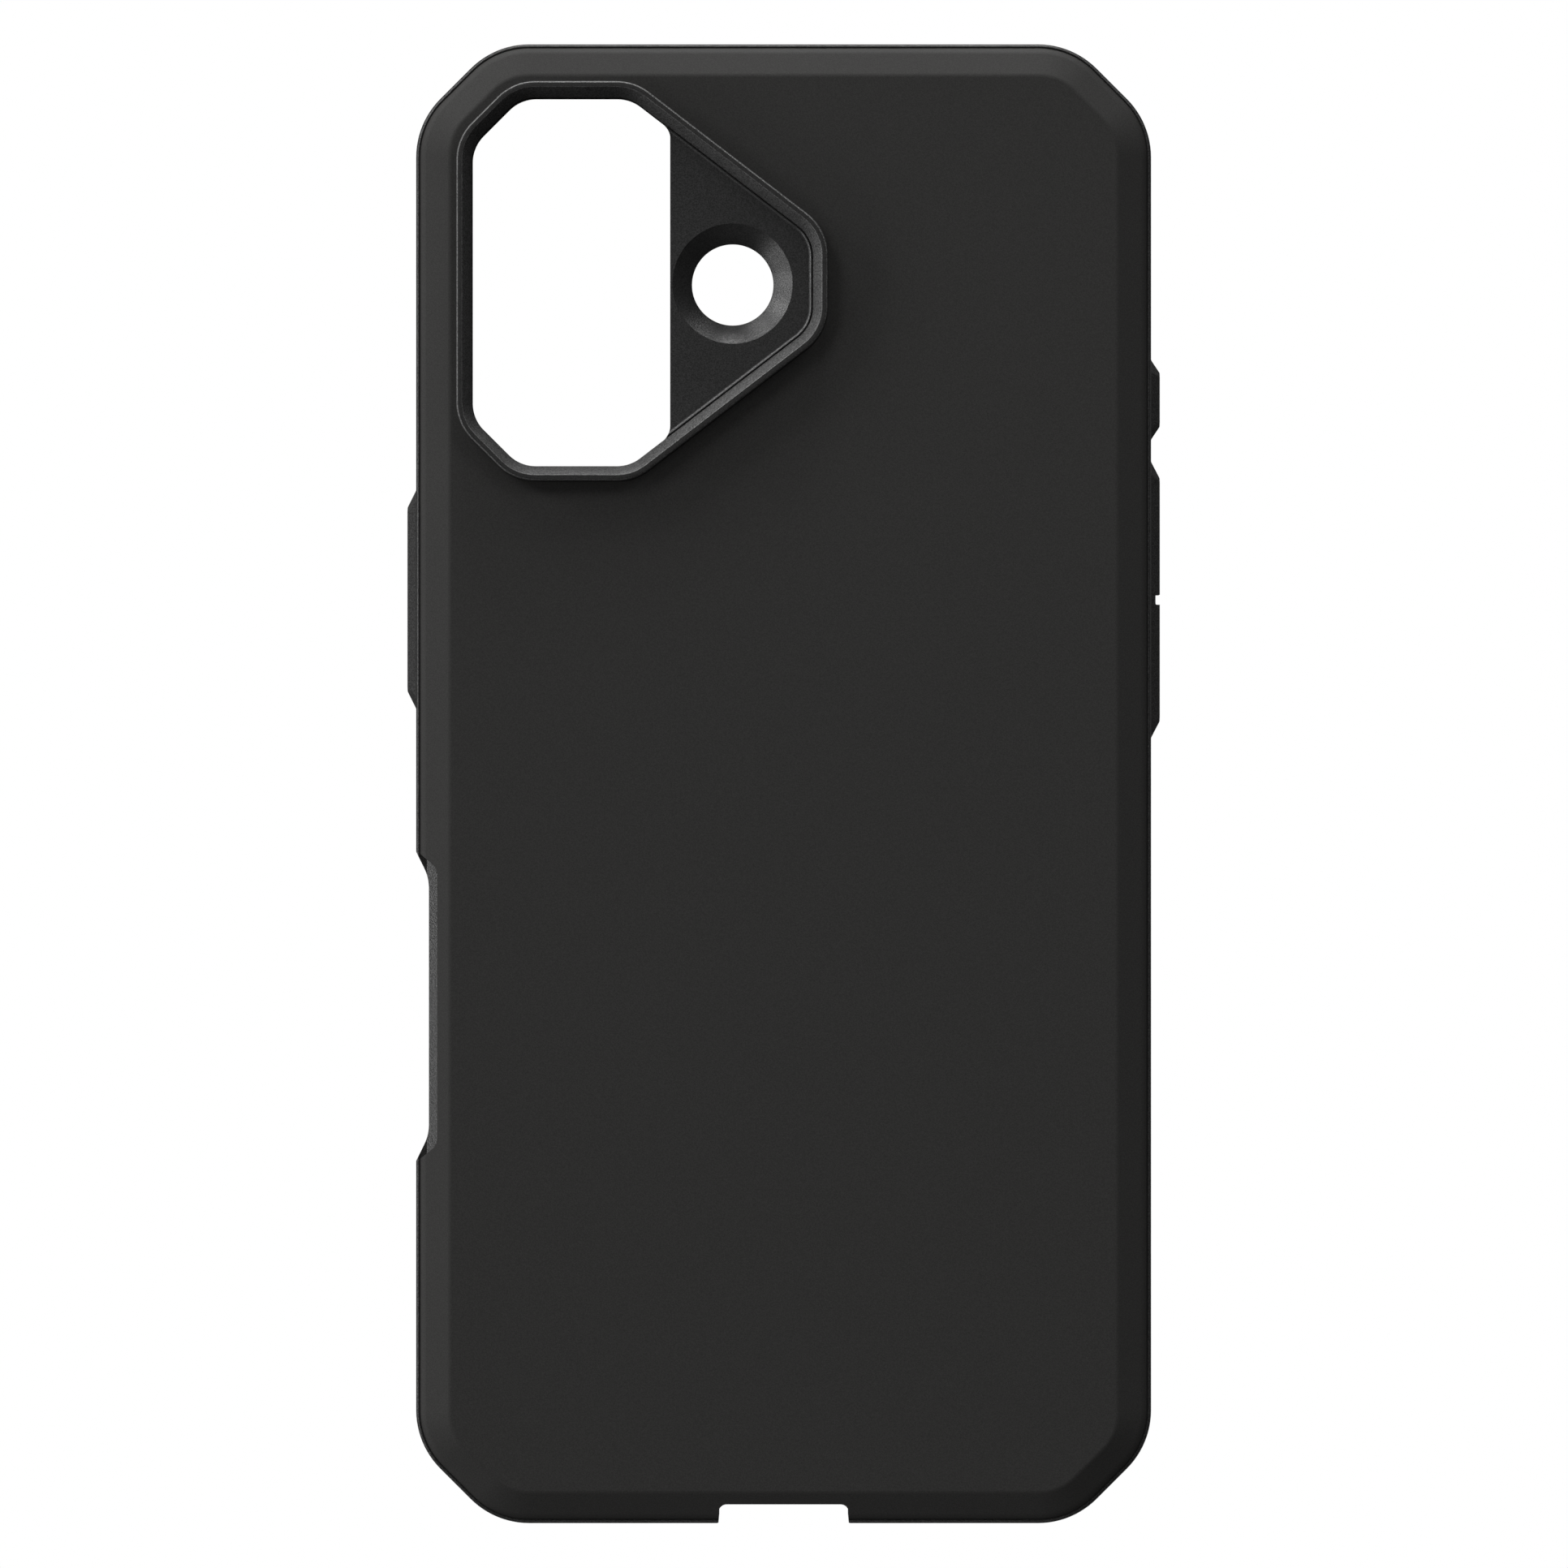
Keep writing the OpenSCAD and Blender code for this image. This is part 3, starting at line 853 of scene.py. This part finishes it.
# ---------------------------------------------------------------- the lining
def make_lining():
    low, high = lining_low.z, lining_high.z
    profile = [
        (LINING_IN + LINING_EDGE, low),
        (LINING_IN, low + LINING_EDGE),
        (LINING_IN, high),
    ]
    lining = loft("back_lining_cloth", raised(BAY, profile))
    hole = prism("cut_camera", GUARD, low - CLEAR, high + CLEAR, -LINING_HOLE_OUT)
    combine(lining, [hole], "DIFFERENCE")
    dress(lining, "back_lining", "case", lining_look)
    cloth = bmesh.new()
    cloth.from_mesh(lining.data)
    area = sum(face.calc_area() for face in cloth.faces if face.normal.z > LINING_UP)
    cloth.free()


# ---------------------------------------------------------------- the keys
def key_path(taper, sliding):
    """(x, how much shorter, how much lower) of the sections along a key, from the wall to its face."""
    rise = (KEY_BASE_H - KEY_FACE_H) / 2
    foot = (HALF_W, 0.0, 0.0)
    step = (HALF_W + KEY_STEP, 0.0, 0.0)
    ledge = (HALF_W + KEY_STEP, KEY_STEP_W, KEY_STEP_W)
    brow = (HALF_W + KEY_OUT, taper, rise)
    face = (HALF_W + KEY_OUT, taper + 1, rise + 1)
    step_turn = bend(foot, step, ledge, KEY_STEP_R)
    path = [foot, *step_turn, ledge, *bend(ledge, brow, face, KEY_BROW_R)]
    if not sliding:
        return [(HALF_W - ROCKER_DEPTH, 0.0, 0.0), *path]
    top = HALF_W - SKIN - FLANGE_GAP
    flange = [(x, -FLANGE_W, -FLANGE_W) for x in (top - FLANGE_T, top)]
    return [*flange, (top, 0.0, 0.0), *path]


def key_loft(name, low, high, taper, sliding):
    """A key: flange and neck in the wall, and the faceted cap outside it."""
    centre_y, length = key_place(low, high, sliding)
    sections = []
    for x, shorter, lower in key_path(taper, sliding):
        way_out = max(0.0, (x - HALF_W - KEY_STEP) / (KEY_OUT - KEY_STEP))
        cut = KEY_CORNER + (KEY_FACE_CORNER - KEY_CORNER) * way_out
        corners = key_outline(length - 2 * shorter, KEY_BASE_H - 2 * lower, centre_y, cut)
        sections.append(upright(corners, x))
    return loft(name, sections)


def make_action():
    action = key_loft("action_button_cap", action_low, action_high, ACTION_TAPER, True)
    dress(action, "action_button", "action_key", key_look)


def notch_bar(centre_y):
    """The cutter for the groove across the rocker's middle."""
    floor_x = HALF_W + KEY_OUT - NOTCH_D
    corners = rounded_box(NOTCH_W / 2, CLEAR, NOTCH_R, (centre_y, floor_x + CLEAR))
    spots = outline(corners, 0.0, NOTCH_STEPS)
    heights = (KEY_Z - NOTCH_HALF, KEY_Z + NOTCH_HALF)
    return loft("cut_notch", [[(x, y, z) for y, x in spots] for z in heights])


def rocker_pin(centre_y):
    """The pin that the rocker turns on, with chamfered ends."""
    low, high, end_r = volume_low.z, volume_high.z, ROCKER_PIN_R - PIN_EDGE
    profile = [
        (end_r, low),
        (ROCKER_PIN_R, low + PIN_EDGE),
        (ROCKER_PIN_R, high - PIN_EDGE),
        (end_r, high),
    ]
    return turned("add_pin", (HALF_W - ROCKER_AXIS_IN, centre_y), profile, PIN_STEPS)


def make_volume():
    volume = key_loft("volume_rocker_bar", volume_low, volume_high, VOLUME_TAPER, False)
    centre_y = (volume_low.y + volume_high.y) / 2
    combine(volume, [notch_bar(centre_y)], "DIFFERENCE")
    round_edges(volume, NOTCH_EDGE_W, segments=2, angle=60)
    combine(volume, [rocker_pin(centre_y)], "UNION")
    dress(volume, "volume_rocker", "volume_key", key_look)


def make_power():
    """The power key is made on the right, and mirrored to the left."""
    low = Vector((-power_high.x, power_low.y, power_low.z))
    high = Vector((-power_low.x, power_high.y, power_high.z))
    power = key_loft("power_button_cap", low, high, POWER_TAPER, True)
    power.data.transform(Matrix.Scale(-1, 4, Vector((1, 0, 0))))
    power.data.flip_normals()
    dress(power, "power_button", "power_key", key_look)


make_shell()
make_frame()
make_guard()
make_plate()
make_lining()
make_action()
make_volume()
make_power()

# ---------------------------------------------------------------- the stage
STAGE_R = 2500.0
STAGE_STEPS = 64
FLOOR_MIDDLE = 0.02
DOME_STEPS = 12
DOME_DROP = 1.0
FLOOR_BOUNCE = 0.15


def glowing(name, strength):
    """White light of its own, and no reflections."""
    material = bpy.data.materials.new(name)
    material.use_nodes = True
    shader = material.node_tree.nodes["Principled BSDF"]
    shader.inputs["Base Color"].default_value = (0, 0, 0, 1)
    shader.inputs["Roughness"].default_value = 0.9
    shader.inputs["Specular IOR Level"].default_value = 0.0
    shader.inputs["Emission Color"].default_value = (1, 1, 1, 1)
    shader.inputs["Emission Strength"].default_value = strength
    return material


def stage_piece(name, rings, first_faces, look):
    points = [point for ring in rings for point in ring]
    obj = piece(name, points, first_faces + bands(rings))
    obj.data.materials.append(look)
    return obj


def only_seen(obj):
    """The camera sees this, and it gives no light to the case."""
    obj.visible_diffuse = False
    obj.visible_glossy = False
    obj.visible_transmission = False
    obj.visible_shadow = False


def make_stage():
    """A white table and room that only the camera sees, and the light that the table sends up."""
    rings = [circle(STAGE_R * share, 0.0, STAGE_STEPS) for share in (FLOOR_MIDDLE, 1.0)]
    middle = [tuple(range(STAGE_STEPS))]
    floor = stage_piece("floor", rings, middle, glowing("floor_white", 1.0))

    # No light comes from under the case, or it would shine up through the lens window
    near = level(CASE, 0.0)
    share = STAGE_R / HALF_L
    far = [(x * share, y * share, z) for x, y, z in near]
    bounce = stage_piece("floor_bounce", [near, far], [], glowing("floor_bounce", FLOOR_BOUNCE))
    bounce.visible_camera = False
    bounce.visible_shadow = False

    rings = []
    for i in range(DOME_STEPS + 1):
        angle = math.pi / 2 * i / DOME_STEPS
        height = STAGE_R * math.sin(angle) - DOME_DROP
        rings.append(circle(STAGE_R * math.cos(angle), height, STAGE_STEPS))
    dome = stage_piece("backdrop", rings, [], glowing("backdrop_white", 1.0))

    only_seen(floor)
    only_seen(dome)


# ---------------------------------------------------------------- the lights
AMBIENT = 0.0
LIGHT_DISTANCE = 3.0
# The twelve places and powers began as the rounded result of a least-squares fit to the photograph's
# brightness. Then arc_090, top_strip and the high lamps but for high_left were changed.
# name: (azimuth from +X, elevation, size, power), in degrees, metres and watts
LIGHTS = {
    "top_strip": (90, 3, 0.75, 45.0),
    "arc_060": (60, 14, 0.75, 10.0),
    "arc_090": (90, 14, 0.75, 8.0),
    "arc_120": (120, 14, 0.75, 18.0),
    "arc_150": (150, 14, 0.75, 24.0),
    "arc_180": (180, 14, 0.75, 17.0),
    "arc_210": (210, 14, 0.75, 10.0),
    "high_upper_left": (135, 45, 1.1, 16.0),
    "high_upper_right": (45, 45, 1.1, 10.5),
    "high_left": (180, 45, 1.1, 3.5),
    "high_lower": (270, 45, 1.1, 6.5),
    "high_right": (0, 45, 1.1, 3.5),
}


def make_light(name, azimuth, elevation, size, power):
    """A square lamp that looks at the origin, and that the camera does not see."""
    lamp = bpy.data.lights.new(name, "AREA")
    lamp.shape = "SQUARE"
    lamp.size = size
    lamp.energy = power
    obj = bpy.data.objects.new(name, lamp)
    a, e = math.radians(azimuth), math.radians(elevation)
    towards = Vector((math.cos(a) * math.cos(e), math.sin(a) * math.cos(e), math.sin(e)))
    spot = towards * LIGHT_DISTANCE
    obj.location = spot
    obj.rotation_mode = "QUATERNION"
    obj.rotation_quaternion = (-spot).to_track_quat("-Z", "Y")
    obj.visible_camera = False
    bpy.context.scene.collection.objects.link(obj)


def make_world():
    world = bpy.data.worlds.new("studio")
    world.use_nodes = True
    background = world.node_tree.nodes["Background"]
    background.inputs["Color"].default_value = (1, 1, 1, 1)
    background.inputs["Strength"].default_value = AMBIENT
    bpy.context.scene.world = world


# ---------------------------------------------------------------- the camera
# It looks straight down on the back, with the phone's top upwards
CAMERA_HEIGHT = 850.0
VIEW_WIDTH = 160.12
SENSOR = 36.0
CAMERA_X = 0.04
CAMERA_Y = -0.025


def make_camera():
    data = bpy.data.cameras.new("camera")
    data.sensor_width = SENSOR
    data.lens = SENSOR * CAMERA_HEIGHT / VIEW_WIDTH
    data.clip_start = 0.05
    data.clip_end = 20
    camera = bpy.data.objects.new("camera", data)
    camera.location = (CAMERA_X * MM, CAMERA_Y * MM, (RIM_Z + CAMERA_HEIGHT) * MM)
    bpy.context.scene.collection.objects.link(camera)
    bpy.context.scene.camera = camera


make_stage()
for light_name, light_values in LIGHTS.items():
    make_light(light_name, *light_values)
make_world()
make_camera()
bpy.context.scene.view_settings.view_transform = "Standard"
bpy.context.scene.view_settings.look = "None"
